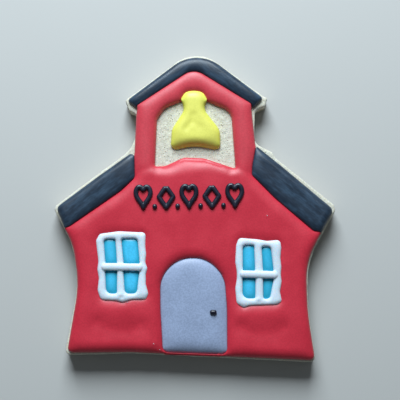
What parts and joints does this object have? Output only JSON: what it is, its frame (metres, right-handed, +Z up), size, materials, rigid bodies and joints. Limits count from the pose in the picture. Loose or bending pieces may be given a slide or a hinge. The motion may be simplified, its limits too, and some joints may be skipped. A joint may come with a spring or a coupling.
{
  "type": "iced sugar biscuit",
  "caption": "Flat baked sugar biscuit cut as a small schoolhouse with a bell tower, its face covered in coloured royal icing.",
  "frame": {"origin": "middle of the biscuit's box, on its flat underside, where it rests", "axes": "+Z up out of the iced face, +Y towards the top of the house, +X to the house's right as seen from above"},
  "size_m": [0.0878, 0.0956, 0.0104],
  "materials": {
    "biscuit": "baked sugar biscuit, dry fine crumb, pale cream",
    "red_icing": "dried royal icing, satin, crimson red",
    "black_icing": "dried royal icing, satin, blue-black",
    "yellow_icing": "dried royal icing, satin, lemon yellow",
    "grey_icing": "dried royal icing, satin, periwinkle grey",
    "white_icing": "piped royal icing, satin, white",
    "blue_icing": "flooded royal icing, soft gloss, sky blue"
  },
  "bodies": {
    "root": {"biscuit": "biscuit", "wall_icing": "red_icing", "tower_icing": "red_icing", "roof_top_icing": "black_icing", "roof_left_icing": "black_icing", "roof_right_icing": "black_icing", "door_knob": "black_icing", "sign_heart_1": "black_icing", "sign_heart_2": "black_icing", "sign_heart_3": "black_icing", "sign_diamond_1": "black_icing", "sign_diamond_2": "black_icing", "sign_dot_1": "black_icing", "sign_dot_2": "black_icing", "sign_dot_3": "black_icing", "sign_dot_4": "black_icing", "bell_icing": "yellow_icing", "door_icing": "grey_icing", "window_left_frame": "white_icing", "window_right_frame": "white_icing", "window_left_glass": "blue_icing", "window_right_glass": "blue_icing"}
  },
  "joints": []
}
